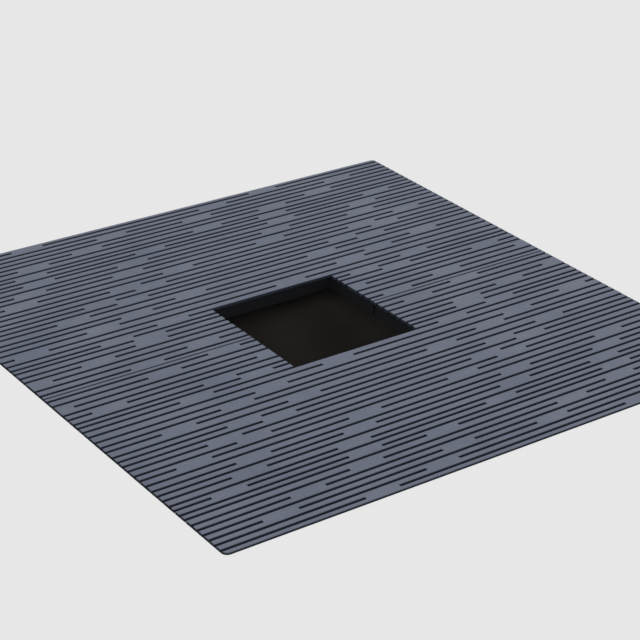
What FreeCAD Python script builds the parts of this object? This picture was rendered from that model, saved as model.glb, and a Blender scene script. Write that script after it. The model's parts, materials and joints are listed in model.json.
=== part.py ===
import FreeCAD, Part
import math
import os
import Sketcher

# Square steel tree grate in two like halves on a pit frame. The rear half is the front half turned round.
# X runs along the bars, Y across them and Z up. The origin is the middle of the frame's underside.

doc = FreeCAD.newDocument("tree_grate")

# Driving dimensions in millimetres
SIZES = (
    # Flat bars of the deck, the slots between them and the joint between the halves
    ("flat_narrow", 11),
    ("flat_plain", 14),
    ("flat_wide", 17),
    ("flat_broad", 20),
    ("flat_joint", 10),
    ("bar_thick", 8),
    ("bar_ease", 0.8),
    ("slot_width", 8),
    ("joint_gap", 4),
    ("hole_length", 366),
    ("corner_land", 1),
    # Spacers in the slots
    ("spacer_length", 90),
    ("spacer_repeat", 745),
    ("spacer_step", 10),
    # Flats on edge under the deck
    ("bearer_thick", 8),
    ("bearer_depth", 35),
    ("bar_overhang", 6),
    ("lap_play", 0.5),
    ("flange_thick", 6),
    ("flange_inset", 4),
    # Pit frame of flats, with seat strips and corner gussets
    ("frame_setback", 8),
    ("frame_thick", 5),
    ("ledge_margin", 12),
    ("upstand_gap", 3),
    ("seat_play", 4),
    ("strip_width", 10),
    ("strip_thick", 3),
    ("gusset_leg", 110),
    ("anchor_inset", 34),
    ("anchor_hole", 14),
    # Hold-down locks
    ("block_side", 18),
    ("lug_width", 30),
    ("lug_thick", 5),
    ("lock_gap", 1),
    ("head_gap", 4),
    ("screw_diameter", 8),
    ("screw_play", 0.8),
    ("screw_end_gap", 2),
    ("head_diameter", 13),
    ("head_height", 8),
    ("socket_across", 6),
    ("socket_depth", 4),
    ("washer_diameter", 16),
    ("washer_thick", 1.6),
)

# Cutting order of one half from the outer edge to the joint: narrow, plain, wide and broad flats, and the one
# beside the joint. The short flats stop at the hole.
LONG_FLATS = "npppppwnpnwppwwpwpppbpwbw"
SHORT_FLATS = "pnwpwwwj"
FLATS = LONG_FLATS + SHORT_FLATS
WIDTHS = {
    "n": "Sizes.flat_narrow",
    "p": "Sizes.flat_plain",
    "w": "Sizes.flat_wide",
    "b": "Sizes.flat_broad",
    "j": "Sizes.flat_joint",
}

# Where the spacers of one half start, slot by slot from the outer edge, in steps from the bars' left ends.
# Each slot of the long flats has a second spacer further along. Spacers that pass an end are cut there.
FIELD_STATIONS = (36, 54, 13, 62, 23, 40, 63, 43, 9, 43, 17, 48, 21, 53, 9, 26, 20, 36, 28, 46, 14, 31, 42, 63)
LEFT_STATIONS = (25, 43, 34, 6, 52, -5, 25, 43)
RIGHT_STATIONS = (100, 117, 109, 110, 126, 144, 100, 117)

sheet = doc.addObject("Spreadsheet::Sheet", "Sizes")
for row, (alias, value) in enumerate(SIZES, start=1):
    sheet.set(f"A{row}", alias)
    sheet.set(f"B{row}", str(value))
    sheet.setAlias(f"B{row}", alias)
doc.recompute()


def size(alias):
    """The number that a cell of the sheet holds."""
    return float(sheet.get(alias))


def evaluate(formula):
    """The number that a formula on the sheet gives."""
    return float(sheet.evalExpression(str(formula)))


def span(count):
    """Formula for the depth of the first flats from the outer edge, each with the slot behind it."""
    flats = [f"{FLATS[:count].count(kind)} * {width}" for kind, width in WIDTHS.items()]
    return f"({' + '.join(flats)} + {count} * Sizes.slot_width)"


# Derived lengths, as formulas on the sheet
HALF = f"({span(len(FLATS))} - Sizes.slot_width + Sizes.joint_gap / 2)"
SIDE = f"(2 * {HALF})"
SHORT = f"({HALF} - Sizes.hole_length / 2)"

# Levels above the frame's underside
SEAT = "(Sizes.frame_thick + Sizes.strip_thick)"
DECK = f"({SEAT} + Sizes.bearer_depth)"
LAP = f"({SEAT} + Sizes.bearer_depth / 2)"
WASHER_SEAT = f"({DECK} - Sizes.head_gap - Sizes.head_height - Sizes.washer_thick)"
LUG_SEAT = f"({WASHER_SEAT} - Sizes.lug_thick)"
BLOCK_HEIGHT = f"({LUG_SEAT} - Sizes.lock_gap - Sizes.frame_thick)"
UPSTAND = f"({DECK} - Sizes.flange_thick - Sizes.upstand_gap - Sizes.frame_thick)"

# Distances from the middle to the frame's faces and to the faces of the halves' rims
FRAME_OUT = f"({HALF} - Sizes.frame_setback)"
UPSTAND_IN = f"({FRAME_OUT} - Sizes.frame_thick)"
RIM_OUT = f"({UPSTAND_IN} - Sizes.seat_play)"
RIM_IN = f"({RIM_OUT} - Sizes.bearer_thick)"
STRIP_OUT = f"({RIM_OUT} + (Sizes.strip_width - Sizes.bearer_thick) / 2)"
STRIP_IN = f"({STRIP_OUT} - Sizes.strip_width)"

# Distances from the middle to the bearers and the locks
HOLE_FACE = "(Sizes.hole_length / 2 + Sizes.bar_overhang)"
HOLE_BEARER = f"({HOLE_FACE} + Sizes.bearer_thick / 2)"
OUTER_BEARER = f"({RIM_OUT} - Sizes.bearer_thick / 2)"
MIDDLE_BEARER = f"(({HOLE_BEARER} + {OUTER_BEARER}) / 2)"
HOLE_BEAM = f"({HALF} - {span(len(LONG_FLATS) - 1)} - {WIDTHS[LONG_FLATS[-1]]} / 2)"
JOINT_BEAM = f"((Sizes.joint_gap + {WIDTHS[FLATS[-1]]}) / 2)"

# The locks stand under the first slot from the edge that clears the seat strip, where no spacer is over
# them, so a key reaches them
LOCK_ROOM = f"({HALF} - {STRIP_IN} + Sizes.block_side / 2 + Sizes.lock_gap)"
LOCK_SLOT = 1
while evaluate(f"{span(LOCK_SLOT)} - Sizes.slot_width / 2") < evaluate(LOCK_ROOM):
    LOCK_SLOT += 1
LOCK_X = f"(({MIDDLE_BEARER} + 3 * {OUTER_BEARER}) / 4)"
LOCK_Y = f"({HALF} - {span(LOCK_SLOT)} + Sizes.slot_width / 2)"

# The frame's ledge carries the lock blocks
LEDGE_IN = f"({LOCK_Y} - Sizes.block_side / 2 - Sizes.ledge_margin)"
LEDGE = f"({FRAME_OUT} - {LEDGE_IN})"

nodes = []


def bind(item, formulas):
    """Ties properties of an object to the sheet."""
    for target, formula in formulas.items():
        item.setExpression(target, str(formula))


def place(item, x, y, z):
    """Ties an object's place to the sheet."""
    bind(item, {"Placement.Base.x": x, "Placement.Base.y": y, "Placement.Base.z": z})


def keep(item, label):
    """Names a finished piece, which gets a file of its own."""
    item.Label = label
    nodes.append(item)
    return item


def box(name, corner, lengths):
    """A block with its lowest corner at a place."""
    block = doc.addObject("Part::Box", name)
    bind(block, dict(zip(("Length", "Width", "Height"), lengths)))
    place(block, *corner)
    return block


def rod(name, centre, diameter, height):
    """An upright cylinder on a point."""
    cylinder = doc.addObject("Part::Cylinder", name)
    bind(cylinder, {"Radius": f"{diameter} / 2", "Height": height})
    place(cylinder, *centre)
    return cylinder


def group(name, members):
    """Separate solids that share one node."""
    compound = doc.addObject("Part::Compound", name)
    compound.Links = members
    return compound


def cut(name, base, tool):
    """One shape less another."""
    piece = doc.addObject("Part::Cut", name)
    piece.Base = base
    piece.Tool = tool
    return piece


def outline(body, name, plane, loops):
    """A sketch of closed straight-sided loops, with every corner tied to the sheet."""
    sketch = body.newObject("Sketcher::SketchObject", name)
    planes = {feature.Role: feature for feature in body.Origin.OriginFeatures}
    sketch.AttachmentSupport = [(planes[plane], "")]
    sketch.MapMode = "FlatFace"
    for loop in loops:
        corners = [FreeCAD.Vector(evaluate(x), evaluate(y), 0) for x, y in loop]
        first = sketch.GeometryCount
        for index, corner in enumerate(corners):
            following = corners[(index + 1) % len(corners)]
            sketch.addGeometry(Part.LineSegment(corner, following), False)
        for index, (x, y) in enumerate(loop):
            edge = first + index
            following = first + (index + 1) % len(loop)
            sketch.addConstraint(Sketcher.Constraint("Coincident", edge, 2, following, 1))
            tie_point(sketch, edge, 1, x, y)
    return sketch


def tie_point(sketch, edge, end, x, y):
    """Ties a point of a sketch to formulas for its two distances from the origin."""
    for kind, formula in (("DistanceX", x), ("DistanceY", y)):
        rule = Sketcher.Constraint(kind, -1, 1, edge, end, evaluate(formula))
        number = sketch.addConstraint(rule)
        label = f"{kind}_{edge}"
        sketch.renameConstraint(number, label)
        sketch.setExpression(f"Constraints.{label}", str(formula))


def pad(body, name, sketch, length):
    """Raises a sketch to a solid."""
    feature = body.newObject("PartDesign::Pad", name)
    feature.Profile = sketch
    bind(feature, {"Length": length})
    return feature


def new_body(name):
    """An empty body, which may hold several separate solids."""
    body = doc.addObject("PartDesign::Body", name)
    body.AllowCompound = True
    return body


def turned(side, x, y, length, width):
    """Lowest corner of a piece in the front half, or of its twin in the rear half."""
    if side < 0:
        return x, y
    return f"-({x}) - ({length})", f"-({y}) - ({width})"


def flat_bar(name, width, length):
    """A flat bar with its top edges eased."""
    body = new_body(name)
    shoulder = "(Sizes.bar_thick - Sizes.bar_ease)"
    section = [
        (0, 0),
        (width, 0),
        (width, shoulder),
        (f"{width} - Sizes.bar_ease", "Sizes.bar_thick"),
        ("Sizes.bar_ease", "Sizes.bar_thick"),
        (0, shoulder),
    ]
    body.Tip = pad(body, name + "_bar", outline(body, name + "_section", "YZ_Plane", [section]), length)
    return body


def flat_row(label, side, numbers, length, x):
    """Flat bars side by side in the cutting order, all from one end."""
    bars = []
    for number in numbers:
        width = WIDTHS[FLATS[number]]
        bar = flat_bar(f"{label}_{number + 1}", width, length)
        place(bar, *turned(side, x, f"{span(number)} - {HALF}", length, width), DECK)
        bars.append(bar)
    return keep(group(label + "_row", bars), label)


def end_bar(label, side):
    """The outermost bar of a half, with its two outer corners rounded and its top edges eased."""
    body = new_body(label)
    width = WIDTHS[FLATS[0]]
    plan = [(0, 0), (SIDE, 0), (SIDE, width), (0, width)]
    sketch = outline(body, label + "_plan", "XY_Plane", [plan])
    bar = pad(body, label + "_bar", sketch, "Sizes.bar_thick")
    doc.recompute()
    upright = []
    for number, edge in enumerate(bar.Shape.Edges, start=1):
        box_of_edge = edge.BoundBox
        if box_of_edge.ZLength > size("bar_thick") / 2 and box_of_edge.YMax < evaluate(width) / 2:
            upright.append(f"Edge{number}")
    rounds = body.newObject("PartDesign::Fillet", label + "_corners")
    rounds.Base = (bar, upright)
    bind(rounds, {"Radius": f"{width} - Sizes.corner_land"})
    doc.recompute()
    tops = [
        f"Face{number}"
        for number, face in enumerate(rounds.Shape.Faces, start=1)
        if face.BoundBox.ZMin > size("bar_thick") / 2
    ]
    ease = body.newObject("PartDesign::Chamfer", label + "_ease")
    ease.Base = (rounds, tops)
    bind(ease, {"Size": "Sizes.bar_ease"})
    body.Tip = ease
    if side > 0:
        body.Placement.Rotation = FreeCAD.Rotation(FreeCAD.Vector(0, 0, 1), 180)
    place(body, f"{side} * {HALF}", f"{side} * {HALF}", DECK)
    return keep(body, label)


def spacer_row(label, side, first_slot, starts, near, far):
    """Square bars that fill slots over the spacer length, flush with the bars and cut at the bars' ends."""
    members = []
    for slot, row in enumerate(starts, start=first_slot):
        for start in row:
            left = max(start, near, key=evaluate)
            right = min(f"({start} + Sizes.spacer_length)", far, key=evaluate)
            length = f"({right} - {left})"
            if evaluate(length) < size("slot_width"):
                continue
            x = f"{left} - {HALF}"
            y = f"{span(slot)} - Sizes.slot_width - {HALF}"
            corner = (*turned(side, x, y, length, "Sizes.slot_width"), DECK)
            lengths = (length, "Sizes.slot_width", "Sizes.bar_thick")
            members.append(box(f"{label}_{slot}", corner, lengths))
    return keep(group(label + "_row", members), label)


def low(side, near, far):
    """The lower of two distances on one side of the middle."""
    return near if side > 0 else f"-{far}"


def bearer(label, x, y, length, notch_y=None):
    """A flat on edge across the bars. A notch from below lets the hole beam through."""
    left = f"{x} - Sizes.bearer_thick / 2"
    name = label if notch_y is None else label + "_flat"
    blank = box(name, (left, y, SEAT), ("Sizes.bearer_thick", length, "Sizes.bearer_depth"))
    if notch_y is None:
        return keep(blank, label)
    gap = "Sizes.bearer_thick + Sizes.lap_play"
    corner = (left, f"{notch_y} - ({gap}) / 2", SEAT)
    notch = box(label + "_notch", corner, ("Sizes.bearer_thick", gap, "Sizes.bearer_depth / 2"))
    return keep(cut(label + "_notched", blank, notch), label)


def beam(label, x, y, length):
    """A flat on edge along the bars, given by its middle line."""
    corner = (x, f"{y} - Sizes.bearer_thick / 2", SEAT)
    return box(label, corner, (length, "Sizes.bearer_thick", "Sizes.bearer_depth"))


def edge_beam(label, side):
    """The angle along a half's outer edge. Its flange reaches out over the frame under the end bar."""
    body = new_body(label)
    reach = f"({HALF} - Sizes.flange_inset - {RIM_OUT})"
    web = f"({reach} + Sizes.bearer_thick)"
    under = "(Sizes.bearer_depth - Sizes.flange_thick)"
    section = [
        (0, under),
        (reach, under),
        (reach, 0),
        (web, 0),
        (web, "Sizes.bearer_depth"),
        (0, "Sizes.bearer_depth"),
    ]
    sketch = outline(body, label + "_section", "YZ_Plane", [section])
    body.Tip = pad(body, label + "_angle", sketch, f"2 * {RIM_IN}")
    if side > 0:
        body.Placement.Rotation = FreeCAD.Rotation(FreeCAD.Vector(0, 0, 1), 180)
    place(body, f"{side} * {RIM_IN}", f"{side} * ({RIM_OUT} + {reach})", SEAT)
    return keep(body, label)


def hole_beam(label, y, crossings):
    """The beam beside the hole, notched from above where bearers cross it."""
    blank = beam(label + "_flat", f"-{RIM_IN}", y, f"2 * {RIM_IN}")
    gap = "Sizes.bearer_thick + Sizes.lap_play"
    notches = []
    for number, x in enumerate(crossings):
        corner = (f"{x} - ({gap}) / 2", f"{y} - Sizes.bearer_thick / 2", LAP)
        lengths = (gap, "Sizes.bearer_thick", "Sizes.bearer_depth / 2")
        notches.append(box(f"{label}_notch_{number}", corner, lengths))
    return keep(cut(label + "_notched", blank, group(label + "_notches", notches)), label)


def lock_lug(name, x, side):
    """A plate on the edge beam's inner face with a hole for the lock screw."""
    reach = f"({RIM_IN} - {LOCK_Y} + Sizes.lug_width / 2)"
    y = low(side, f"{RIM_IN} - {reach}", RIM_IN)
    plate = box(name + "_plate", (f"{x} - Sizes.lug_width / 2", y, LUG_SEAT),
                ("Sizes.lug_width", reach, "Sizes.lug_thick"))
    hole = rod(name + "_hole", (x, f"{side} * {LOCK_Y}", LUG_SEAT),
               "(Sizes.screw_diameter + Sizes.screw_play)", "Sizes.lug_thick")
    return cut(name, plate, hole)


def lock_washer(name, x, side):
    """A plain washer on the lug."""
    centre = (x, f"{side} * {LOCK_Y}", WASHER_SEAT)
    disc = rod(name + "_disc", centre, "Sizes.washer_diameter", "Sizes.washer_thick")
    bore = rod(name + "_bore", centre, "(Sizes.screw_diameter + Sizes.screw_play)", "Sizes.washer_thick")
    return cut(name, disc, bore)


def lock_screw(name, x, side):
    """A socket head screw, its head on the washer and its end inside the lock block."""
    y = f"{side} * {LOCK_Y}"
    seat = f"({WASHER_SEAT} + Sizes.washer_thick)"
    end = "(Sizes.frame_thick + Sizes.screw_end_gap)"
    head = rod(name + "_head", (x, y, seat), "Sizes.head_diameter", "Sizes.head_height")
    shank = rod(name + "_shank", (x, y, end), "Sizes.screw_diameter", f"{seat} - {end}")
    solid = doc.addObject("Part::Fuse", name + "_solid")
    solid.Base = head
    solid.Tool = shank
    socket = doc.addObject("Part::Prism", name + "_socket")
    socket.Polygon = 6
    bind(socket, {"Circumradius": f"Sizes.socket_across / {math.sqrt(3)}", "Height": "Sizes.socket_depth"})
    place(socket, x, y, f"{seat} + Sizes.head_height - Sizes.socket_depth")
    return cut(name, solid, socket)


def lock_block(name, x, side):
    """A block on the ledge that takes the lock screw's thread."""
    y = f"{side} * {LOCK_Y}"
    corner = (f"{x} - Sizes.block_side / 2", f"{y} - Sizes.block_side / 2", "Sizes.frame_thick")
    block = box(name + "_blank", corner, ("Sizes.block_side", "Sizes.block_side", BLOCK_HEIGHT))
    bore = rod(name + "_bore", (x, y, "Sizes.frame_thick"),
               "(Sizes.screw_diameter + Sizes.screw_play)", BLOCK_HEIGHT)
    return cut(name, block, bore)


def half(name, side):
    """One lift-out half of the grate: deck, spacers, bearers, beams and locks."""
    long_count = len(LONG_FLATS)
    hands = ("left", "right") if side < 0 else ("right", "left")

    # Deck of flat bars
    end_bar(f"{name}_end_bar", side)
    flat_row(f"{name}_long_bars", side, range(1, long_count), SIDE, f"-{HALF}")
    short = range(long_count, len(FLATS))
    flat_row(f"{name}_{hands[0]}_short_bars", side, short, SHORT, f"-{HALF}")
    flat_row(f"{name}_{hands[1]}_short_bars", side, short, SHORT, "Sizes.hole_length / 2")

    # Spacers in the slots
    step = "Sizes.spacer_step"
    pairs = [(f"{start} * {step}", f"({start} * {step} + Sizes.spacer_repeat)") for start in FIELD_STATIONS]
    spacer_row(f"{name}_field_spacers", side, 1, pairs, "0", SIDE)
    left = [(f"{start} * {step}",) for start in LEFT_STATIONS]
    spacer_row(f"{name}_{hands[0]}_spacers", side, long_count, left, "0", SHORT)
    right = [(f"{start} * {step}",) for start in RIGHT_STATIONS]
    spacer_row(f"{name}_{hands[1]}_spacers", side, long_count, right, f"({SIDE} - {SHORT})", SIDE)

    # Beams along the bars
    joint_y = f"({side} * {JOINT_BEAM})"
    hole_y = f"({side} * {HOLE_BEAM})"
    edge_beam(f"{name}_edge_beam", side)
    crossings = [f"{hand} * {x}" for x in (HOLE_BEARER, MIDDLE_BEARER) for hand in (-1, 1)]
    hole_beam(f"{name}_hole_beam", hole_y, crossings)
    joint_length = f"{RIM_IN} - {HOLE_FACE}"
    keep(beam(f"{name}_left_joint_beam", f"-{RIM_IN}", joint_y, joint_length), f"{name}_left_joint_beam")
    keep(beam(f"{name}_right_joint_beam", HOLE_FACE, joint_y, joint_length), f"{name}_right_joint_beam")

    # Bearers across the bars
    rim_length = f"{RIM_OUT} - {JOINT_BEAM} + Sizes.bearer_thick / 2"
    rim_y = low(side, f"{JOINT_BEAM} - Sizes.bearer_thick / 2", RIM_OUT)
    inner_length = f"{RIM_IN} - {JOINT_BEAM} - Sizes.bearer_thick / 2"
    inner_y = low(side, f"{JOINT_BEAM} + Sizes.bearer_thick / 2", RIM_IN)
    for hand, word in ((-1, "left"), (1, "right")):
        bearer(f"{name}_{word}_rim_bearer", f"{hand} * {OUTER_BEARER}", rim_y, rim_length)
        bearer(f"{name}_{word}_middle_bearer", f"{hand} * {MIDDLE_BEARER}", inner_y, inner_length, hole_y)
        bearer(f"{name}_{word}_hole_bearer", f"{hand} * {HOLE_BEARER}", inner_y, inner_length, hole_y)
    centre_length = f"{RIM_IN} - {HOLE_BEAM} - Sizes.bearer_thick / 2"
    centre_y = low(side, f"{HOLE_BEAM} + Sizes.bearer_thick / 2", RIM_IN)
    bearer(f"{name}_centre_bearer", "0", centre_y, centre_length)

    # Locks
    for word, make in (("lugs", lock_lug), ("washers", lock_washer), ("screws", lock_screw)):
        label = f"{name}_lock_{word}"
        keep(group(label, [make(f"{label}_{hand + 1}", f"{hand} * {LOCK_X}", side) for hand in (-1, 1)]), label)


def frame_flat(label, turn, corner, width, height):
    """A flat along one side of the pit frame, with mitred ends."""
    body = new_body(label)
    length = f"(2 * {FRAME_OUT})"
    plan = [(0, 0), (length, 0), (f"{length} - {width}", width), (width, width)]
    body.Tip = pad(body, label + "_flat", outline(body, label + "_plan", "XY_Plane", [plan]), height)
    body.Placement.Rotation = FreeCAD.Rotation(FreeCAD.Vector(0, 0, 1), turn)
    place(body, *corner)
    keep(body, label)


def corner_gusset(label, turn, x, y):
    """A three-cornered plate in a corner of the ledge, with an anchor hole."""
    body = new_body(label)
    corners = [(0, 0), ("Sizes.gusset_leg", 0), (0, "Sizes.gusset_leg")]
    sketch = outline(body, label + "_plan", "XY_Plane", [corners])
    middle = FreeCAD.Vector(size("anchor_inset"), size("anchor_inset"), 0)
    circle = sketch.addGeometry(Part.Circle(middle, FreeCAD.Vector(0, 0, 1), size("anchor_hole") / 2), False)
    tie_point(sketch, circle, 3, "Sizes.anchor_inset", "Sizes.anchor_inset")
    number = sketch.addConstraint(Sketcher.Constraint("Diameter", circle, size("anchor_hole")))
    sketch.renameConstraint(number, "anchor")
    sketch.setExpression("Constraints.anchor", "Sizes.anchor_hole")
    body.Tip = pad(body, label + "_plate", sketch, "Sizes.frame_thick")
    body.Placement.Rotation = FreeCAD.Rotation(FreeCAD.Vector(0, 0, 1), turn)
    place(body, x, y, 0)
    keep(body, label)


def pit_frame():
    """The frame that stays in the ground: ledges, upstands, gussets, seat strips and lock blocks."""
    corners = (
        ("front", "front_left", 0, -1, -1),
        ("right", "front_right", 90, 1, -1),
        ("rear", "rear_right", 180, 1, 1),
        ("left", "rear_left", 270, -1, 1),
    )
    for edge, corner, turn, x, y in corners:
        foot = (f"{x} * {FRAME_OUT}", f"{y} * {FRAME_OUT}")
        frame_flat(f"frame_ledge_{edge}", turn, (*foot, 0), LEDGE, "Sizes.frame_thick")
        frame_flat(f"frame_upstand_{edge}", turn, (*foot, "Sizes.frame_thick"), "Sizes.frame_thick", UPSTAND)
        corner_gusset(f"corner_gusset_{corner}", turn, f"{x} * {LEDGE_IN}", f"{y} * {LEDGE_IN}")
    for word, side in (("front", -1), ("rear", 1)):
        label = f"seat_strip_{word}"
        corner = (f"-{STRIP_OUT}", low(side, STRIP_IN, STRIP_OUT), "Sizes.frame_thick")
        keep(box(label, corner, (f"2 * {STRIP_OUT}", "Sizes.strip_width", "Sizes.strip_thick")), label)
    for word, side in (("left", -1), ("right", 1)):
        label = f"seat_strip_{word}"
        corner = (low(side, STRIP_IN, STRIP_OUT), f"-{STRIP_IN}", "Sizes.frame_thick")
        keep(box(label, corner, ("Sizes.strip_width", f"2 * {STRIP_IN}", "Sizes.strip_thick")), label)
    blocks = []
    for side in (-1, 1):
        for hand in (-1, 1):
            blocks.append(lock_block(f"lock_block_{side + 1}_{hand + 1}", f"{hand} * {LOCK_X}", side))
    keep(group("lock_blocks", blocks), "lock_blocks")


def check():
    """Stops if any object failed, or a piece's shape is missing or not valid."""
    for item in doc.Objects:
        if "Invalid" in item.State or "Error" in item.State:
            raise RuntimeError(f"{item.Label} failed: {item.State}")
    for item in nodes:
        if item.Shape.isNull() or not item.Shape.isValid() or not item.Shape.Solids:
            raise RuntimeError(f"{item.Label} has no valid solid")


def export():
    """Writes one file for each piece."""
    os.makedirs("parts", exist_ok=True)
    for item in nodes:
        item.Shape.exportStep(f"parts/{item.Label}.step")


pit_frame()
half("front", -1)
half("rear", 1)
doc.recompute()
check()
export()

solids = sum(len(item.Shape.Solids) for item in nodes)
print(f"{len(nodes)} pieces, {solids} solids, side {evaluate(SIDE):.1f} mm")
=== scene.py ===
import json
import math

import bpy
from mathutils import Matrix, Vector


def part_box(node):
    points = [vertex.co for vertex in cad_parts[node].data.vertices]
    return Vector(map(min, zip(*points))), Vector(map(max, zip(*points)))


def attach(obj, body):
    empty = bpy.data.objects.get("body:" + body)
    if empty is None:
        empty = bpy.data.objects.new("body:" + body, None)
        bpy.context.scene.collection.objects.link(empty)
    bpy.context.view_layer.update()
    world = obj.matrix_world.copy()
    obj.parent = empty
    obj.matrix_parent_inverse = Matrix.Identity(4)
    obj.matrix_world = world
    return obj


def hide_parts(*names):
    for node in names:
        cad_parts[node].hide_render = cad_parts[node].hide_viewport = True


# Looks of a square steel tree grate: coated deck bars and spacers on coated bearers, in two halves that
# lift out of a galvanised pit frame. Lengths are in metres, angles of the camera and the sun in degrees.

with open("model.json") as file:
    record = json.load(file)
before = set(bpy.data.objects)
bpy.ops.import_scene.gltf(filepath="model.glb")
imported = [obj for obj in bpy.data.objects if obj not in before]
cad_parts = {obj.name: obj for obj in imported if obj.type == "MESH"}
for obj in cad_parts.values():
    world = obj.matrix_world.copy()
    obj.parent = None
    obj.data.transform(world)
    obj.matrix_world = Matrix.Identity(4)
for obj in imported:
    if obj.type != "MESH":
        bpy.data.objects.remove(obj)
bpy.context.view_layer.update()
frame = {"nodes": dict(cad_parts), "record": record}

MILLIMETRE = 0.001

# Camera, as the photograph was taken
CAMERA_AZIMUTH = -36.435
CAMERA_ELEVATION = 26.887
CAMERA_ROLL = 1.735
CAMERA_DISTANCE = 4.8359
CAMERA_AIM = (0.0097, -0.0141)
CAMERA_LENS = 110.446
CAMERA_SENSOR = 36.0
CAMERA_REACH = 200.0

# Paving with the pit that the frame stands in
PAVING_SIDE = 80.0
PAVING_DROP = 3 * MILLIMETRE
PAVING_JOINT = 3.5 * MILLIMETRE
PAVING_CORNER = 14 * MILLIMETRE
PAVING_CORNER_STEPS = 8
FOOTING_WIDTH = 0.14
PIT_DEPTH = 0.25
PAVING_SEEN = 0.81
PAVING_COLOUR = (0.3, 0.3, 0.3)
FOOTING_COLOUR = (0.2, 0.2, 0.195)
SOIL_COLOUR = (0.056, 0.052, 0.048)
STAGE_ROUGHNESS = 0.9

# Light
SKY_LIGHT = 0.22
SKY_SEEN = 0.81
SUN_STRENGTH = 2.65
SUN_ELEVATION = 66.0
SUN_AZIMUTH = 115.0
SUN_ANGLE = 30.0

# Finishes
DECK_COLOUR = (0.100, 0.115, 0.166)
DECK_CLOUD = (0.086, 0.100, 0.146)
# The bearers' coat is near-black, darker than a plain coat. It is partly painted shade, so that the
# bearers read as the shade under the deck and in the hole
BEARER_COAT_AND_PAINTED_SHADE = (0.034, 0.036, 0.041)
BEARER_CLOUD_AND_PAINTED_SHADE = (0.028, 0.030, 0.035)
DUST_COLOUR = (0.26, 0.26, 0.255)
WORN_COLOUR = (0.24, 0.26, 0.30)
ZINC_LIGHT = (0.44, 0.45, 0.46)
ZINC_DARK = (0.32, 0.33, 0.345)
RUBBER_COLOUR = (0.020, 0.020, 0.021)
STEEL_COLOUR = (0.58, 0.575, 0.56)
COAT_ROUGHNESS = (0.58, 0.68)
ZINC_ROUGHNESS = (0.42, 0.58)
RUBBER_ROUGHNESS = (0.68, 0.85)
STEEL_ROUGHNESS = (0.24, 0.40)
COAT_SPECULAR = 0.3
ZINC_METALLIC = 0.75
ZINC_DUST = 0.5
ZINC_CLOUD_SHARE = (0.0, 0.5)
RUBBER_DUST = 0.22
STEEL_DUST = 0.4

# The part of each mask's range over which it goes from nothing to full
FULL_SPAN = (0.0, 1.0)
CLOUD_SPAN = (0.3, 0.7)
ZINC_CLOUD_SPAN = (0.35, 0.75)
PEEL_SPAN = (0.45, 0.7)
UPWARD_SPAN = (0.5, 1.0)
DUST_PATCH_SPAN = (0.35, 0.75)
DUST_SPECK_SPAN = (0.25, 0.75)
EDGE_SPAN = (0.99, 0.82)
WEAR_SPAN = (0.40, 0.66)
SCUFF_SPAN = (0.62, 0.72)
SCUFF_PATCH_SPAN = (0.45, 0.62)

# The turn of each set of scuffs, and the scale of its noise along each axis
SCUFF_SETS = ((0.35, (9.0, 420.0, 420.0)), (-1.1, (12.0, 520.0, 520.0)))

# Places of the colour sockets on a Mix node, where other sockets have the same names
MIX_COLOURS_IN = (6, 7)
MIX_COLOUR_OUT = 2

# Welds
BEAD_RADIUS = 2.8 * MILLIMETRE
BEAD_SIDES = 10
TACK_RADIUS = 2.0 * MILLIMETRE
TACK_SIDES = 8
TACK_LENGTH = 8 * MILLIMETRE
STITCH_LENGTH = 26 * MILLIMETRE
STITCH_PITCH = 130 * MILLIMETRE
RIPPLE = 1.6 * MILLIMETRE
RIPPLE_WAIST = 0.9
BEAD_TIP = 0.5
BEAD_SINK = 0.3
BEAD_MARGIN = 1.5 * MILLIMETRE
BUTT_SINK = 0.65
SMOOTH_ANGLE = math.radians(40)

# Rubber strips and socket screws
STRIP_RIBS = 3
STRIP_BASE = 1.6 * MILLIMETRE
STRIP_ROUND = 0.4 * MILLIMETRE
STRIP_ROUND_STEPS = 2
HEAD_HEIGHT = 8 * MILLIMETRE
SHANK_RADIUS = 4 * MILLIMETRE
THREAD_STEP = 0.625 * MILLIMETRE
THREAD_SIDES = 20
THREAD_WAIST = 0.87
THREAD_TIP = 0.85
KNURL_SIDES = 60
KNURL_WAIST = 0.97
HEAD_CHAMFER = 0.7 * MILLIMETRE
SOCKET_SIDES = 6
SOCKET_ACROSS = 6 * MILLIMETRE
SOCKET_DEPTH = 4 * MILLIMETRE

# How near counts as touching, how level as facing up, and the digits that tell places and lengths apart
TOUCH = 0.05 * MILLIMETRE
FACES_UP = 0.9
PLACE_DIGITS = 6
LENGTH_DIGITS = 5

# Sizes of the deck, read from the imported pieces
deck_low, deck_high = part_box("front_end_bar")
SIDE = deck_high.x - deck_low.x
DECK_LEVEL = deck_low.z
TOP_LEVEL = deck_high.z

# The bars' eased edge, from where their flat tops start
bars_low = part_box("front_long_bars")[0]
bar_points = frame["nodes"]["front_long_bars"].data.vertices
BAR_EASE = min(point.co.y for point in bar_points if point.co.z > TOP_LEVEL - TOUCH) - bars_low.y

HALVES = ("front", "rear")
HANDS = ("left", "right")


# Modelling helpers


def select_none():
    """Leaves nothing selected, so that an operator acts only on what comes next."""
    if bpy.context.object and bpy.context.object.mode != "OBJECT":
        bpy.ops.object.mode_set(mode="OBJECT")
    bpy.ops.object.select_all(action="DESELECT")


def select_points(piece, test):
    """Selects in edit mode the points of a piece whose place passes a test."""
    bpy.ops.object.mode_set(mode="EDIT")
    bpy.ops.mesh.select_all(action="DESELECT")
    bpy.ops.object.mode_set(mode="OBJECT")
    for point in piece.data.vertices:
        point.select = test(point.co)
    bpy.ops.object.mode_set(mode="EDIT")


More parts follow.
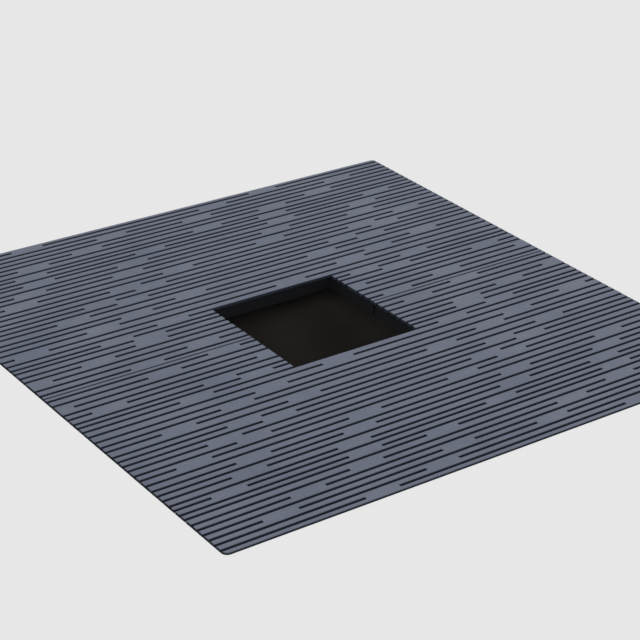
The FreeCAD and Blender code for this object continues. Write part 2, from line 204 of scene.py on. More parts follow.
def select_faces(piece, test):
    """Selects in edit mode the faces of a piece whose centre and normal pass a test."""
    bpy.ops.object.mode_set(mode="EDIT")
    bpy.ops.mesh.select_mode(type="FACE")
    bpy.ops.mesh.select_all(action="DESELECT")
    bpy.ops.object.mode_set(mode="OBJECT")
    for face in piece.data.polygons:
        face.select = test(face.center, face.normal)
    bpy.ops.object.mode_set(mode="EDIT")


def select_edges(piece, test):
    """Selects in edit mode the edges of a piece whose two ends pass a test."""
    bpy.ops.object.mode_set(mode="EDIT")
    bpy.ops.mesh.select_mode(type="EDGE")
    bpy.ops.mesh.select_all(action="DESELECT")
    bpy.ops.object.mode_set(mode="OBJECT")
    for edge in piece.data.edges:
        edge.select = test(*(piece.data.vertices[end].co for end in edge.vertices))
    bpy.ops.object.mode_set(mode="EDIT")


def block(low, high):
    """A block between two corners, ready to be shaped, with its place in its mesh."""
    low = Vector(low)
    high = Vector(high)
    select_none()
    bpy.ops.mesh.primitive_cube_add(size=1, location=(low + high) / 2)
    piece = bpy.context.object
    piece.scale = high - low
    bpy.ops.object.transform_apply(location=True, rotation=False, scale=True)
    return piece


def ribbed_rod(length, radius, step, sides, waist, tip):
    """A round rod up from the origin, its rings by turns full and drawn in, its ends thin."""
    select_none()
    middle = (0, 0, length / 2)
    bpy.ops.mesh.primitive_cylinder_add(vertices=sides, radius=radius, depth=length, location=middle)
    bpy.ops.object.transform_apply(location=True)
    rod = bpy.context.object
    rings = max(2, 2 * round(length / step / 2))
    select_edges(rod, lambda first, second: abs(first.z - second.z) > length / 2)
    bpy.ops.mesh.subdivide(number_cuts=rings - 1)
    bpy.ops.mesh.select_mode(type="VERT")
    spacing = length / rings
    select_points(rod, lambda place: round(place.z / spacing) % 2 == 0)
    bpy.ops.transform.resize(value=(waist, waist, 1), center_override=(0, 0, 0))
    select_points(rod, lambda place: min(place.z, length - place.z) < spacing / 2)
    bpy.ops.transform.resize(value=(tip, tip, 1), center_override=(0, 0, 0))
    bpy.ops.object.mode_set(mode="OBJECT")
    return rod


def along(start, end):
    """The transform that lays an upright piece from one point towards another."""
    start = Vector(start)
    turn = (Vector(end) - start).to_track_quat("Z", "Y").to_matrix().to_4x4()
    return Matrix.Translation(start) @ turn


def lay_copies(model, name, places):
    """Copies a piece to each place, each copy with its own mesh, and joins the copies."""
    copies = []
    for place in places:
        twin = model.copy()
        twin.data = model.data.copy()
        twin.data.transform(place)
        bpy.context.scene.collection.objects.link(twin)
        copies.append(twin)
    bpy.data.objects.remove(model)
    return join(copies, name)


def join(pieces, name):
    """Joins pieces into one."""
    select_none()
    for piece in pieces:
        piece.select_set(True)
    bpy.context.view_layer.objects.active = pieces[0]
    bpy.ops.object.join()
    piece = bpy.context.object
    piece.name = name
    piece.data.name = name
    return piece


def use_modifier(piece, kind, **options):
    """Adds a modifier with its options and applies it."""
    modifier = piece.modifiers.new(kind.lower(), kind)
    for option, choice in options.items():
        setattr(modifier, option, choice)
    bpy.context.view_layer.objects.active = piece
    bpy.ops.object.modifier_apply(modifier=modifier.name)


def finish_piece(piece, body, slot):
    """Gives a new piece smooth rounds and its finish, and lets it ride on its body."""
    select_none()
    piece.select_set(True)
    bpy.context.view_layer.objects.active = piece
    bpy.ops.object.shade_smooth_by_angle(angle=SMOOTH_ANGLE)
    piece.data.materials.clear()
    piece.data.materials.append(finishes[slot])
    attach(piece, body)


# Material helpers


def add_node(tree, kind, values=(), **options):
    """Adds a node with its options and the plain values of its inputs."""
    node = tree.nodes.new(kind)
    for option, choice in options.items():
        setattr(node, option, choice)
    for socket, value in dict(values).items():
        node.inputs[socket].default_value = value
    return node


def new_group(name, inputs, outputs):
    """An empty shader group with named number inputs and outputs."""
    tree = bpy.data.node_groups.new(name, "ShaderNodeTree")
    for label, value in inputs:
        socket = tree.interface.new_socket(label, in_out="INPUT", socket_type="NodeSocketFloat")
        socket.default_value = value
    for label in outputs:
        tree.interface.new_socket(label, in_out="OUTPUT", socket_type="NodeSocketFloat")
    return tree, tree.nodes.new("NodeGroupInput"), tree.nodes.new("NodeGroupOutput")


def place_group(tree, group, values):
    """Places a shared group in a material with its own values."""
    node = add_node(tree, "ShaderNodeGroup", node_tree=group)
    for socket, value in values.items():
        node.inputs[socket].default_value = value
    return node


def spread(tree, source, span, result=FULL_SPAN):
    """Stretches a value from one range to another, held at both ends."""
    values = {"From Min": span[0], "From Max": span[1], "To Min": result[0], "To Max": result[1]}
    node = add_node(tree, "ShaderNodeMapRange", values)
    tree.links.new(source, node.inputs["Value"])
    return node.outputs["Result"]


def times(tree, first, second):
    """Multiplies a value by another value or by a number."""
    node = add_node(tree, "ShaderNodeMath", operation="MULTIPLY")
    tree.links.new(first, node.inputs[0])
    if isinstance(second, float):
        node.inputs[1].default_value = second
    else:
        tree.links.new(second, node.inputs[1])
    return node.outputs[0]


def blend_colour(tree, first, second, share):
    """Mixes two colours by a mask. Each is a colour or another node's output."""
    node = add_node(tree, "ShaderNodeMix", data_type="RGBA")
    tree.links.new(share, node.inputs["Factor"])
    for socket, colour in zip(MIX_COLOURS_IN, (first, second)):
        if isinstance(colour, tuple):
            node.inputs[socket].default_value = (*colour, 1)
        else:
            tree.links.new(colour, node.inputs[socket])
    return node.outputs[MIX_COLOUR_OUT]


def new_material(name):
    """A material with its node tree and its shader."""
    material = bpy.data.materials.new(name)
    material.use_nodes = True
    tree = material.node_tree
    return material, tree, tree.nodes["Principled BSDF"]


# Effects that several finishes share


def coat_grain_group():
    """The fine peel of a sprayed or dipped skin, and slow clouds of tone."""
    inputs = (("Peel Scale", 900.0), ("Cloud Scale", 6.0))
    tree, given, result = new_group("coat_grain", inputs, ("Peel", "Cloud"))
    place = add_node(tree, "ShaderNodeTexCoord")
    for label, detail in (("Peel", 2.0), ("Cloud", 4.0)):
        noise = add_node(tree, "ShaderNodeTexNoise", {"Detail": detail, "Roughness": 0.55})
        tree.links.new(place.outputs["Object"], noise.inputs["Vector"])
        tree.links.new(given.outputs[label + " Scale"], noise.inputs["Scale"])
        tree.links.new(noise.outputs["Fac"], result.inputs[label])
    return tree


def worn_edges_group():
    """A broken line of wear along edges, where the rounded normal leaves the flat one."""
    inputs = (("Width", 1.2 * MILLIMETRE), ("Breakup Scale", 60.0))
    tree, given, result = new_group("worn_edges", inputs, ("Wear",))
    rounded = add_node(tree, "ShaderNodeBevel", samples=4)
    tree.links.new(given.outputs["Width"], rounded.inputs["Radius"])
    surface = add_node(tree, "ShaderNodeNewGeometry")
    facing = add_node(tree, "ShaderNodeVectorMath", operation="DOT_PRODUCT")
    tree.links.new(rounded.outputs["Normal"], facing.inputs[0])
    tree.links.new(surface.outputs["Normal"], facing.inputs[1])
    edge = spread(tree, facing.outputs["Value"], EDGE_SPAN)
    place = add_node(tree, "ShaderNodeTexCoord")
    noise = add_node(tree, "ShaderNodeTexNoise", {"Detail": 5.0, "Roughness": 0.6})
    tree.links.new(place.outputs["Object"], noise.inputs["Vector"])
    tree.links.new(given.outputs["Breakup Scale"], noise.inputs["Scale"])
    broken = spread(tree, noise.outputs["Fac"], WEAR_SPAN)
    tree.links.new(times(tree, edge, broken), result.inputs["Wear"])
    return tree


def settled_dust_group():
    """Dust that lies in patches on faces that look up."""
    inputs = (("Patch Scale", 5.0), ("Speck Scale", 260.0))
    tree, given, result = new_group("settled_dust", inputs, ("Dust",))
    surface = add_node(tree, "ShaderNodeNewGeometry")
    parts = add_node(tree, "ShaderNodeSeparateXYZ")
    tree.links.new(surface.outputs["Normal"], parts.inputs["Vector"])
    upward = spread(tree, parts.outputs["Z"], UPWARD_SPAN)
    place = add_node(tree, "ShaderNodeTexCoord")
    masks = []
    for label, span in (("Patch", DUST_PATCH_SPAN), ("Speck", DUST_SPECK_SPAN)):
        noise = add_node(tree, "ShaderNodeTexNoise", {"Detail": 5.0, "Roughness": 0.6})
        tree.links.new(place.outputs["Object"], noise.inputs["Vector"])
        tree.links.new(given.outputs[label + " Scale"], noise.inputs["Scale"])
        masks.append(spread(tree, noise.outputs["Fac"], span))
    dust = times(tree, times(tree, masks[0], masks[1]), upward)
    tree.links.new(dust, result.inputs["Dust"])
    return tree


def scuffs_group():
    """Thin pale streaks in two slanted sets, where soles and wheels have rubbed."""
    inputs = (("Patch Scale", 3.0),)
    tree, given, result = new_group("scuffs", inputs, ("Scuff",))
    place = add_node(tree, "ShaderNodeTexCoord")
    streaks = add_node(tree, "ShaderNodeMath", operation="MAXIMUM")
    for number, (turn, stretch) in enumerate(SCUFF_SETS):
        slant = add_node(tree, "ShaderNodeMapping", {"Rotation": (0, 0, turn), "Scale": stretch})
        tree.links.new(place.outputs["Object"], slant.inputs["Vector"])
        noise = add_node(tree, "ShaderNodeTexNoise", {"Scale": 1.0, "Detail": 2.0, "Roughness": 0.5})
        tree.links.new(slant.outputs["Vector"], noise.inputs["Vector"])
        tree.links.new(spread(tree, noise.outputs["Fac"], SCUFF_SPAN), streaks.inputs[number])
    patch = add_node(tree, "ShaderNodeTexNoise", {"Detail": 3.0, "Roughness": 0.5})
    tree.links.new(place.outputs["Object"], patch.inputs["Vector"])
    tree.links.new(given.outputs["Patch Scale"], patch.inputs["Scale"])
    share = spread(tree, patch.outputs["Fac"], SCUFF_PATCH_SPAN)
    tree.links.new(times(tree, streaks.outputs[0], share), result.inputs["Scuff"])
    return tree


# Finishes


def bump_from(tree, shader, height, strength, depth):
    """Lets a height shape the surface's normal."""
    bump = add_node(tree, "ShaderNodeBump", {"Strength": strength, "Distance": depth})
    tree.links.new(height, bump.inputs["Height"])
    tree.links.new(bump.outputs["Normal"], shader.inputs["Normal"])


def powder_coat(name, colour, cloud_colour, dust_share, scuff_share, wear_share):
    """Matt powder coat: fine grain, clouds of tone, a little dust, sparse scuffs, edges worn lighter."""
    material, tree, shader = new_material(name)
    grain = place_group(tree, groups["grain"], {"Peel Scale": 800.0, "Cloud Scale": 5.0})
    dust = place_group(tree, groups["dust"], {"Patch Scale": 4.0, "Speck Scale": 300.0})
    wear = place_group(tree, groups["wear"], {"Width": 1.0 * MILLIMETRE, "Breakup Scale": 45.0})
    cloud = spread(tree, grain.outputs["Cloud"], CLOUD_SPAN)
    tone = blend_colour(tree, colour, cloud_colour, cloud)
    grainy = blend_colour(tree, tone, cloud_colour, spread(tree, grain.outputs["Peel"], PEEL_SPAN))
    dusty = blend_colour(tree, grainy, DUST_COLOUR, times(tree, dust.outputs["Dust"], dust_share))
    scuffs = place_group(tree, groups["scuffs"], {"Patch Scale": 3.0})
    scuffed = blend_colour(tree, dusty, WORN_COLOUR, times(tree, scuffs.outputs["Scuff"], scuff_share))
    worn = blend_colour(tree, scuffed, WORN_COLOUR, times(tree, wear.outputs["Wear"], wear_share))
    tree.links.new(worn, shader.inputs["Base Color"])
    roughness = spread(tree, grain.outputs["Cloud"], CLOUD_SPAN, COAT_ROUGHNESS)
    tree.links.new(roughness, shader.inputs["Roughness"])
    shader.inputs["Specular IOR Level"].default_value = COAT_SPECULAR
    bump_from(tree, shader, grain.outputs["Peel"], strength=0.6, depth=0.3 * MILLIMETRE)
    return material


def galvanised(name):
    """Hot-dip zinc: spangle of dull crystals, with a faint peel."""
    material, tree, shader = new_material(name)
    place = add_node(tree, "ShaderNodeTexCoord")
    spangle = add_node(tree, "ShaderNodeTexVoronoi", {"Scale": 120.0, "Randomness": 1.0})
    tree.links.new(place.outputs["Object"], spangle.inputs["Vector"])
    parts = add_node(tree, "ShaderNodeSeparateColor")
    tree.links.new(spangle.outputs["Color"], parts.inputs["Color"])
    grain = place_group(tree, groups["grain"], {"Peel Scale": 500.0, "Cloud Scale": 9.0})
    crystal = blend_colour(tree, ZINC_DARK, ZINC_LIGHT, parts.outputs["Red"])
    cloud = spread(tree, grain.outputs["Cloud"], ZINC_CLOUD_SPAN, ZINC_CLOUD_SHARE)
    dulled = blend_colour(tree, crystal, ZINC_DARK, cloud)
    dust = place_group(tree, groups["dust"], {"Patch Scale": 8.0, "Speck Scale": 200.0})
    dusty = blend_colour(tree, dulled, DUST_COLOUR, times(tree, dust.outputs["Dust"], ZINC_DUST))
    tree.links.new(dusty, shader.inputs["Base Color"])
    roughness = spread(tree, parts.outputs["Green"], FULL_SPAN, ZINC_ROUGHNESS)
    tree.links.new(roughness, shader.inputs["Roughness"])
    shader.inputs["Metallic"].default_value = ZINC_METALLIC
    bump_from(tree, shader, grain.outputs["Peel"], strength=0.3, depth=0.2 * MILLIMETRE)
    return material


def rubber(name):
    """Black rubber strip, matt, with a grey bloom."""
    material, tree, shader = new_material(name)
    grain = place_group(tree, groups["grain"], {"Peel Scale": 1200.0, "Cloud Scale": 30.0})
    dust = place_group(tree, groups["dust"], {"Patch Scale": 14.0, "Speck Scale": 350.0})
    dusty = blend_colour(tree, RUBBER_COLOUR, DUST_COLOUR, times(tree, dust.outputs["Dust"], RUBBER_DUST))
    tree.links.new(dusty, shader.inputs["Base Color"])
    roughness = spread(tree, grain.outputs["Cloud"], CLOUD_SPAN, RUBBER_ROUGHNESS)
    tree.links.new(roughness, shader.inputs["Roughness"])
    bump_from(tree, shader, grain.outputs["Peel"], strength=0.3, depth=0.1 * MILLIMETRE)
    return material


def turned_steel(name):
    """Satin stainless steel with fine lines left by turning."""
    material, tree, shader = new_material(name)
    place = add_node(tree, "ShaderNodeTexCoord")
    stretch = add_node(tree, "ShaderNodeMapping", {"Scale": (250.0, 250.0, 6000.0)})
    tree.links.new(place.outputs["Object"], stretch.inputs["Vector"])
    lines = add_node(tree, "ShaderNodeTexNoise", {"Scale": 1.0, "Detail": 3.0})
    tree.links.new(stretch.outputs["Vector"], lines.inputs["Vector"])
    dust = place_group(tree, groups["dust"], {"Patch Scale": 60.0, "Speck Scale": 900.0})
    dusty = blend_colour(tree, STEEL_COLOUR, DUST_COLOUR, times(tree, dust.outputs["Dust"], STEEL_DUST))
    tree.links.new(dusty, shader.inputs["Base Color"])
    roughness = spread(tree, lines.outputs["Fac"], CLOUD_SPAN, STEEL_ROUGHNESS)
    tree.links.new(roughness, shader.inputs["Roughness"])
    shader.inputs["Metallic"].default_value = 1.0
    bump_from(tree, shader, lines.outputs["Fac"], strength=0.15, depth=0.05 * MILLIMETRE)
    return material


def finish_nodes():
    """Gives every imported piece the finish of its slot."""
    for part in frame["record"]["subparts"]:
        node = frame["nodes"][part["node"]]
        node.data.materials.clear()
        node.data.materials.append(finishes[part["material_slot"]])


# Welds of the two halves


def holds(corners, x, y):
    """Whether a piece's box covers a point in plan."""
    low, high = corners
    return low.x < x < high.x and low.y < y < high.y


def inside_corners(bearers, beams):
    """Upright inside corners where bearers meet beams, each with the way out of it."""
    found = {}
    for bearer in bearers:
        for beam in beams:
            for x, out_x in ((bearer[0].x, -1), (bearer[1].x, 1)):
                for y, out_y in ((beam[0].y, -1), (beam[1].y, 1)):
                    near_x, far_x = x + out_x * BEAD_RADIUS, x - out_x * BEAD_RADIUS
                    near_y, far_y = y + out_y * BEAD_RADIUS, y - out_y * BEAD_RADIUS
                    met = holds(bearer, far_x, near_y) and holds(beam, near_x, far_y)
                    free = not any(holds(piece, near_x, near_y) for piece in bearers + beams)
                    if met and free:
                        found[round(x, LENGTH_DIGITS), round(y, LENGTH_DIGITS)] = (out_x, out_y)
    return found


def carriers(half):
    """The boxes of a half's bearers, and of its beams."""
    bearers = [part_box(f"{half}_centre_bearer")]
    beams = [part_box(f"{half}_edge_beam"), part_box(f"{half}_hole_beam")]
    for hand in HANDS:
        bearers += [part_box(f"{half}_{hand}_{place}_bearer") for place in ("rim", "middle", "hole")]
        beams.append(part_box(f"{half}_{hand}_joint_beam"))
    return bearers, beams


def joint_welds(half):
    """Rippled upright beads in the corners between bearers and beams."""
    bearers, beams = carriers(half)
    low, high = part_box(f"{half}_centre_bearer")
    length = high.z - low.z - 2 * BEAD_MARGIN
    places = []
    for (x, y), (out_x, out_y) in inside_corners(bearers, beams).items():
        shift = BEAD_SINK * BEAD_RADIUS
        foot = Vector((x + out_x * shift, y + out_y * shift, low.z + BEAD_MARGIN))
        places.append(Matrix.Translation(foot))
    bead = ribbed_rod(length, BEAD_RADIUS, RIPPLE, BEAD_SIDES, RIPPLE_WAIST, BEAD_TIP)
    piece = lay_copies(bead, f"{half}_joint_welds", places)
    finish_piece(piece, f"{half}_half", "bearer_coat")


def solid_boxes(node):
    """The boxes of a node's separate solids, found by following the edges from place to place."""
    mesh = frame["nodes"][node].data
    places = [tuple(round(value, PLACE_DIGITS) for value in point.co) for point in mesh.vertices]
    neighbours = {place: set() for place in places}
    for edge in mesh.edges:
        first, second = (places[end] for end in edge.vertices)
        neighbours[first].add(second)
        neighbours[second].add(first)
    boxes = []
    while neighbours:
        waiting = [next(iter(neighbours))]
        solid = []
        while waiting:
            place = waiting.pop()
            if place in neighbours:
                waiting += neighbours.pop(place)
                solid.append(place)
        low, high = (Vector(map(pick, zip(*solid))) for pick in (min, max))
        boxes.append((low, high))
    return boxes


def bar_boxes(half):
    """The boxes of all the flat bars of a half."""
    nodes = ["end_bar", "long_bars", "left_short_bars", "right_short_bars"]
    return [box for node in nodes for box in solid_boxes(f"{half}_{node}")]


def tack_places(bars, bearers, beams):
    """Where short beads lie under the bars, on both faces of each bearer that carries them."""
    places = []
    shift = BEAD_SINK * TACK_RADIUS
    for low, high in bearers:
        for bar in bars:
            middle = (bar[0].y + bar[1].y) / 2
            for x, out in ((low.x, -1), (high.x, 1)):
                beside = x + out * 2 * TACK_RADIUS
                clear = not any(holds(beam, beside, middle) for beam in beams)
                if low.y < middle < high.y and holds(bar, beside, middle) and clear:
                    start = Vector((x + out * shift, middle - TACK_LENGTH / 2, DECK_LEVEL - shift))
                    places.append(along(start, start + Vector((0, TACK_LENGTH, 0))))
    return places


def stitch_places(bars, bearers, beams):
    """Where longer beads lie at a pitch along the beams, under the bars that rest on them."""
    places = []
    shift = BEAD_SINK * TACK_RADIUS
    reach = STITCH_LENGTH / 2 + BEAD_RADIUS
    for low, high in beams:
        count = int((high.x - low.x - STITCH_LENGTH) / STITCH_PITCH)
        first = (low.x + high.x - count * STITCH_PITCH) / 2
        for y, out in ((low.y, -1), (high.y, 1)):
            beside = y + out * 2 * TACK_RADIUS
            for number in range(count + 1):
                x = first + number * STITCH_PITCH
                ends = (x - reach, x + reach)
                covered = any(all(holds(bar, end, beside) for end in ends) for bar in bars)
                clear = not any(a.x - reach < x < b.x + reach and a.y < beside < b.y for a, b in bearers)
                if covered and clear:
                    start = Vector((x - STITCH_LENGTH / 2, y + out * shift, DECK_LEVEL - shift))
                    places.append(along(start, start + Vector((STITCH_LENGTH, 0, 0))))
    return places


def lug_places(half):
    """Where beads lie above and below each lock lug, along the edge beam that holds it."""
    places = []
    shift = BEAD_SINK * TACK_RADIUS
    for low, high in solid_boxes(f"{half}_lock_lugs"):
        wall, out = (low.y, 1) if low.y < 0 else (high.y, -1)
        for z, rise in ((low.z, -1), (high.z, 1)):
            start = Vector(((low.x + high.x - STITCH_LENGTH) / 2, wall + out * shift, z + rise * shift))
            places.append(along(start, start + Vector((STITCH_LENGTH, 0, 0))))
    return places


def under_welds(half):
    """Beads that hold the bars on their bearers and beams, and the lugs on the edge beam."""
    bearers, beams = carriers(half)
    bars = bar_boxes(half)
    tack = ribbed_rod(TACK_LENGTH, TACK_RADIUS, RIPPLE, TACK_SIDES, RIPPLE_WAIST, BEAD_TIP)
    stitch = ribbed_rod(STITCH_LENGTH, TACK_RADIUS, RIPPLE, TACK_SIDES, RIPPLE_WAIST, BEAD_TIP)
    name = f"{half}_bar_welds"
    tacks = lay_copies(tack, name, tack_places(bars, bearers, beams))
    stitches = lay_copies(stitch, name, stitch_places(bars, bearers, beams) + lug_places(half))
    finish_piece(join([tacks, stitches], name), f"{half}_half", "bearer_coat")


def seam_fill(length):
    """The ground weld in the groove between a bar's eased edge and a spacer, from the origin along X."""
    seam = block((0, -BAR_EASE, -BAR_EASE), (length, 0, 0))
    foot = (0, 0, -BAR_EASE)
    bpy.ops.object.mode_set(mode="EDIT")
    bpy.ops.mesh.select_all(action="SELECT")
    bpy.ops.mesh.bisect(plane_co=foot, plane_no=(0, -1, -1), use_fill=True, clear_outer=True)
    bpy.ops.object.mode_set(mode="OBJECT")
    return seam


def ground_welds(half):
    """Welds ground flush along both sides of each spacer, where it meets the bars."""
    places = {}
    half_turn = Matrix.Rotation(math.pi, 4, "Z")
    for field in ("field", "left", "right"):
        for low, high in solid_boxes(f"{half}_{field}_spacers"):
            alike = places.setdefault(round(high.x - low.x, LENGTH_DIGITS), [])
            alike.append(Matrix.Translation((*low.xy, high.z)))
            alike.append(Matrix.Translation(high) @ half_turn)
    name = f"{half}_ground_welds"
    piece = join([lay_copies(seam_fill(length), name, alike) for length, alike in places.items()], name)
    finish_piece(piece, f"{half}_half", "deck_coat")


# Welds of the pit frame


def corner_signs():
    """The signs of the four corners in plan."""
    return [(x, y) for x in (-1, 1) for y in (-1, 1)]


def frame_beads(name, radius, runs):
    """Equal beads, each between the two points of a run."""
    first, last = (Vector(end) for end in runs[0])
    rod = ribbed_rod((last - first).length, radius, RIPPLE, BEAD_SIDES, RIPPLE_WAIST, BEAD_TIP)
    return lay_copies(rod, name, [along(start, end) for start, end in runs])


def frame_welds():
    """Beads at the frame's mitres, upstands, gussets and lock blocks."""
    name = "frame_welds"
    ledge_low, ledge_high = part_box("frame_ledge_rear")
    upstand_low, upstand_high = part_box("frame_upstand_rear")
    strip_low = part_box("seat_strip_rear")[0]
    gusset_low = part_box("corner_gusset_rear_right")[0]
    inner, wall, top = ledge_low.y, upstand_low.y, ledge_high.z
    sunk = top - BUTT_SINK * BEAD_RADIUS
    near, far = inner + BEAD_RADIUS, strip_low.y - BEAD_RADIUS
    mitres = [((x * near, y * near, sunk), (x * far, y * far, sunk)) for x, y in corner_signs()]
    place = wall - BEAD_SINK * BEAD_RADIUS
    foot, head = top + BEAD_MARGIN, upstand_high.z - BEAD_MARGIN
    corners = [((x * place, y * place, foot), (x * place, y * place, head)) for x, y in corner_signs()]
    start, end = gusset_low.x + BEAD_RADIUS, inner - BEAD_RADIUS
    legs = [((x * start, y * inner, sunk), (x * end, y * inner, sunk)) for x, y in corner_signs()]
    legs += [((x * inner, y * start, sunk), (x * inner, y * end, sunk)) for x, y in corner_signs()]
    shift = BEAD_SINK * TACK_RADIUS
    sides = []
    level = top + shift
    for low, high in solid_boxes("lock_blocks"):
        start, end = low.y + BEAD_MARGIN, high.y - BEAD_MARGIN
        for x, out in ((low.x, -1), (high.x, 1)):
            beside = x + out * shift
            sides.append(((beside, start, level), (beside, end, level)))
        start, end = low.x + BEAD_MARGIN, high.x - BEAD_MARGIN
        y, out = (high.y, 1) if low.y < 0 else (low.y, -1)
        beside = y + out * shift
        sides.append(((start, beside, level), (end, beside, level)))
    pieces = [frame_beads(name, BEAD_RADIUS, runs) for runs in (mitres, corners, legs)]
    pieces.append(frame_beads(name, TACK_RADIUS, sides))
    finish_piece(join(pieces, name), "pit_frame", "frame_zinc")


# Rubber strips and screws


def ribbed_strip(node):
    """A rubber strip with ribs along it, in place of a plain one."""
    low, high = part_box(node)
    size = high - low
    select_none()
    middle = (low + high) / 2
    bpy.ops.mesh.primitive_plane_add(size=1, location=(middle.x, middle.y, low.z + STRIP_BASE))
    strip = bpy.context.object
    strip.scale = (size.x, size.y, 1)
    bpy.ops.object.transform_apply(location=True, rotation=False, scale=True)
    across = 0 if size.x < size.y else 1
    columns = 2 * STRIP_RIBS - 1
    select_edges(strip, lambda first, second: abs(first[across] - second[across]) > size[across] / 2)
    bpy.ops.mesh.subdivide(number_cuts=columns - 1)

    def on_rib(centre, normal):
        return int((centre[across] - low[across]) / size[across] * columns) % 2 == 0

    select_faces(strip, on_rib)
    bpy.ops.mesh.extrude_region_move(TRANSFORM_OT_translate={"value": (0, 0, size.z - STRIP_BASE)})
    bpy.ops.mesh.select_mode(type="EDGE")
    bpy.ops.mesh.select_all(action="DESELECT")
    bpy.ops.mesh.select_non_manifold()
    bpy.ops.mesh.extrude_edges_move(TRANSFORM_OT_translate={"value": (0, 0, -STRIP_BASE)})
    bpy.ops.mesh.edge_face_add()
    bpy.ops.mesh.select_all(action="SELECT")
    bpy.ops.mesh.normals_make_consistent(inside=False)
    bpy.ops.mesh.select_mode(type="VERT")
    bpy.ops.object.mode_set(mode="OBJECT")
    use_modifier(strip, "BEVEL", width=STRIP_ROUND, segments=STRIP_ROUND_STEPS, limit_method="ANGLE")
    strip.name = node + "_ribbed"
    strip.data.name = strip.name
    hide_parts(node)
    finish_piece(strip, "pit_frame", "seat_rubber")


def socket_screw(length, radius):
    """A socket screw up from the origin: a threaded shank and a knurled head with a hexagon in it."""
    shank_length = length - HEAD_HEIGHT
    shank = ribbed_rod(shank_length, SHANK_RADIUS, THREAD_STEP, THREAD_SIDES, THREAD_WAIST, THREAD_TIP)
    select_none()
    bpy.ops.mesh.primitive_cylinder_add(vertices=KNURL_SIDES, radius=radius, depth=HEAD_HEIGHT,
                                        location=(0, 0, length - HEAD_HEIGHT / 2))
    bpy.ops.object.transform_apply(location=True)
    head = bpy.context.object
    turn = KNURL_SIDES / (2 * math.pi)
    select_points(head, lambda place: round(math.atan2(place.y, place.x) * turn) % 2 == 1)
    bpy.ops.transform.resize(value=(KNURL_WAIST, KNURL_WAIST, 1), center_override=(0, 0, 0))
    select_faces(head, lambda centre, normal: normal.z > FACES_UP)
    bpy.ops.mesh.inset(thickness=HEAD_CHAMFER)
    bpy.ops.mesh.select_mode(type="VERT")
    rim = radius * KNURL_WAIST - TOUCH
    select_points(head, lambda place: place.z > length - TOUCH and place.xy.length > rim)
    bpy.ops.transform.translate(value=(0, 0, -HEAD_CHAMFER))
    select_none()
    socket_radius = SOCKET_ACROSS / math.cos(math.pi / SOCKET_SIDES) / 2
    bpy.ops.mesh.primitive_cylinder_add(vertices=SOCKET_SIDES, radius=socket_radius,
                                        depth=2 * SOCKET_DEPTH, location=(0, 0, length))
    cutter = bpy.context.object
    use_modifier(head, "BOOLEAN", operation="DIFFERENCE", object=cutter, solver="EXACT")
    bpy.data.objects.remove(cutter)
    return join([shank, head], "lock_screw")


def lock_screws(half):
    """Socket screws in place of a half's plain ones."""
    node = f"{half}_lock_screws"
    boxes = solid_boxes(node)
    low, high = boxes[0]
    screw = socket_screw(high.z - low.z, (high.x - low.x) / 2)
    places = [Matrix.Translation(((a.x + b.x) / 2, (a.y + b.y) / 2, a.z)) for a, b in boxes]
    piece = lay_copies(screw, f"{half}_socket_screws", places)
    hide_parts(node)
    finish_piece(piece, f"{half}_half", "stainless")


set_of_groups = {
    "grain": coat_grain_group,
    "wear": worn_edges_group,
    "dust": settled_dust_group,
    "scuffs": scuffs_group,
}
groups = {word: make() for word, make in set_of_groups.items()}
finishes = {
    "deck_coat": powder_coat("deck_coat_finish", DECK_COLOUR, DECK_CLOUD,
                             dust_share=0.24, scuff_share=0.30, wear_share=0.30),
    # The bearers' near-black coat is partly painted shade, standing in for the shade under the deck and
    # in the hole
    "bearer_coat": powder_coat("bearer_coat_and_painted_shade_finish", BEARER_COAT_AND_PAINTED_SHADE, BEARER_CLOUD_AND_PAINTED_SHADE,
                               dust_share=0.18, scuff_share=0.12, wear_share=0.22),
    "frame_zinc": galvanised("frame_zinc_finish"),
    "seat_rubber": rubber("seat_rubber_finish"),
    "stainless": turned_steel("stainless_finish"),
}


# Camera, light and stage


def direction(azimuth, elevation):
    """The way from the grate towards a place at these angles, in degrees."""
    azimuth = math.radians(azimuth)
    elevation = math.radians(elevation)
    level = math.cos(elevation)
    return Vector((math.sin(azimuth) * level, -math.cos(azimuth) * level, math.sin(elevation)))


def set_up_camera():
    """A camera on the photograph's line of sight, rolled as it was."""
    back = direction(CAMERA_AZIMUTH, CAMERA_ELEVATION)
    data = bpy.data.cameras.new("camera")
    data.lens = CAMERA_LENS
    data.sensor_width = CAMERA_SENSOR
    data.clip_end = CAMERA_REACH
    camera = bpy.data.objects.new("camera", data)
    bpy.context.scene.collection.objects.link(camera)
    camera.location = Vector((*CAMERA_AIM, TOP_LEVEL)) + back * CAMERA_DISTANCE
    turn = (-back).to_track_quat("-Z", "Y").to_matrix()
    roll = Matrix.Rotation(math.radians(CAMERA_ROLL), 3, "Z")
    camera.rotation_euler = (turn @ roll).to_euler()
    bpy.context.scene.camera = camera


def straight_view(tree):
    """A mask of what is seen directly, in a reflection or through glass."""
    path = add_node(tree, "ShaderNodeLightPath")
    direct = path.outputs["Is Camera Ray"]
    for kind in ("Is Glossy Ray", "Is Transmission Ray"):
        either = add_node(tree, "ShaderNodeMath", operation="MAXIMUM")
        tree.links.new(direct, either.inputs[0])
        tree.links.new(path.outputs[kind], either.inputs[1])
        direct = either.outputs[0]
    return direct


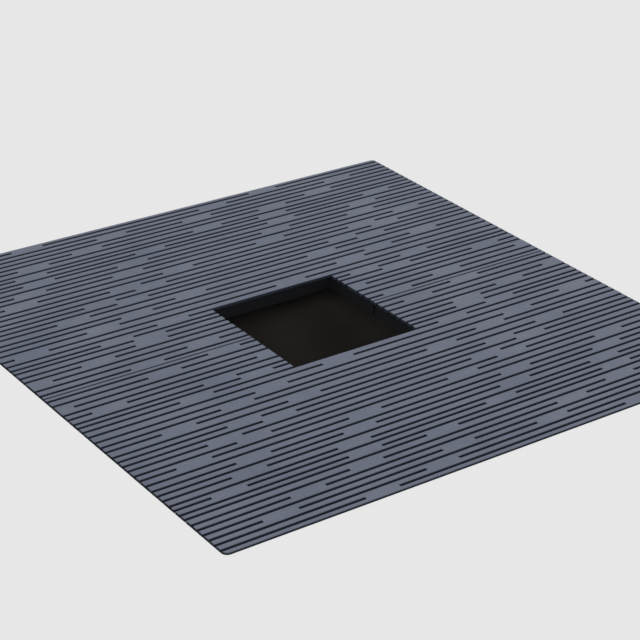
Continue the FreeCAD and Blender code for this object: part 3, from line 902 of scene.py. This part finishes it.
def set_up_light():
    """A pale even sky and one soft sun from behind the grate."""
    world = bpy.data.worlds.new("sky")
    bpy.context.scene.world = world
    world.use_nodes = True
    tree = world.node_tree
    tree.nodes.clear()
    white = (1, 1, 1, 1)
    light = add_node(tree, "ShaderNodeBackground", {"Color": white, "Strength": SKY_LIGHT})
    seen = add_node(tree, "ShaderNodeBackground", {"Color": white, "Strength": SKY_SEEN})
    mix = add_node(tree, "ShaderNodeMixShader")
    tree.links.new(straight_view(tree), mix.inputs["Fac"])
    tree.links.new(light.outputs["Background"], mix.inputs[1])
    tree.links.new(seen.outputs["Background"], mix.inputs[2])
    output = add_node(tree, "ShaderNodeOutputWorld")
    tree.links.new(mix.outputs["Shader"], output.inputs["Surface"])

    lamp = bpy.data.lights.new("sun", "SUN")
    lamp.energy = SUN_STRENGTH
    lamp.angle = math.radians(SUN_ANGLE)
    sun = bpy.data.objects.new("sun", lamp)
    bpy.context.scene.collection.objects.link(sun)
    towards = direction(SUN_AZIMUTH, SUN_ELEVATION)
    sun.rotation_euler = towards.to_track_quat("Z", "Y").to_euler()


def stage_material(name, colour):
    """A plain matt material for the stage, with its node tree and its shader."""
    material, tree, shader = new_material(name)
    shader.inputs["Base Color"].default_value = (*colour, 1)
    shader.inputs["Roughness"].default_value = STAGE_ROUGHNESS
    shader.inputs["Specular IOR Level"].default_value = 0.0
    return material, tree, shader


def paving_material():
    """Pale paving that throws less light back at the grate than it shows."""
    material, tree, shader = stage_material("pale_paving", PAVING_COLOUR)
    shade = (PAVING_SEEN, PAVING_SEEN, PAVING_SEEN)
    colour = blend_colour(tree, PAVING_COLOUR, shade, straight_view(tree))
    tree.links.new(colour, shader.inputs["Base Color"])
    return material


def lay_paving():
    """A pale floor a little lower than the deck, with a joint round it, and a pit with a footing."""
    level = TOP_LEVEL - PAVING_DROP
    opening = SIDE / 2 + PAVING_JOINT
    select_none()
    bpy.ops.mesh.primitive_plane_add(size=PAVING_SIDE, location=(0, 0, level))
    paving = bpy.context.object
    paving.name = "paving"
    bpy.ops.object.transform_apply(location=True)
    bpy.ops.object.mode_set(mode="EDIT")
    bpy.ops.mesh.select_all(action="SELECT")
    bpy.ops.mesh.inset(thickness=PAVING_SIDE / 2 - opening)
    bpy.ops.mesh.extrude_region_move(TRANSFORM_OT_translate={"value": (0, 0, -level)})
    bpy.ops.mesh.inset(thickness=FOOTING_WIDTH)
    bpy.ops.mesh.extrude_region_move(TRANSFORM_OT_translate={"value": (0, 0, -PIT_DEPTH)})
    select_edges(paving, lambda first, second: first.xy == second.xy and max(first.z, second.z) > TOUCH)
    bpy.ops.mesh.bevel(offset=PAVING_CORNER, segments=PAVING_CORNER_STEPS, affect="EDGES")
    bpy.ops.mesh.select_mode(type="VERT")
    bpy.ops.object.mode_set(mode="OBJECT")
    paving.data.materials.append(paving_material())
    for name, colour in (("footing", FOOTING_COLOUR), ("pit_soil", SOIL_COLOUR)):
        paving.data.materials.append(stage_material(name, colour)[0])
    for face in paving.data.polygons:
        if face.center.z < level - TOUCH:
            face.material_index = 1
        if face.center.z < -TOUCH:
            face.material_index = 2


bpy.context.scene.view_settings.view_transform = "Standard"
set_up_camera()
set_up_light()
lay_paving()
finish_nodes()
for half in HALVES:
    ground_welds(half)
    joint_welds(half)
    under_welds(half)
    lock_screws(half)
frame_welds()
for side in HALVES + HANDS:
    ribbed_strip(f"seat_strip_{side}")
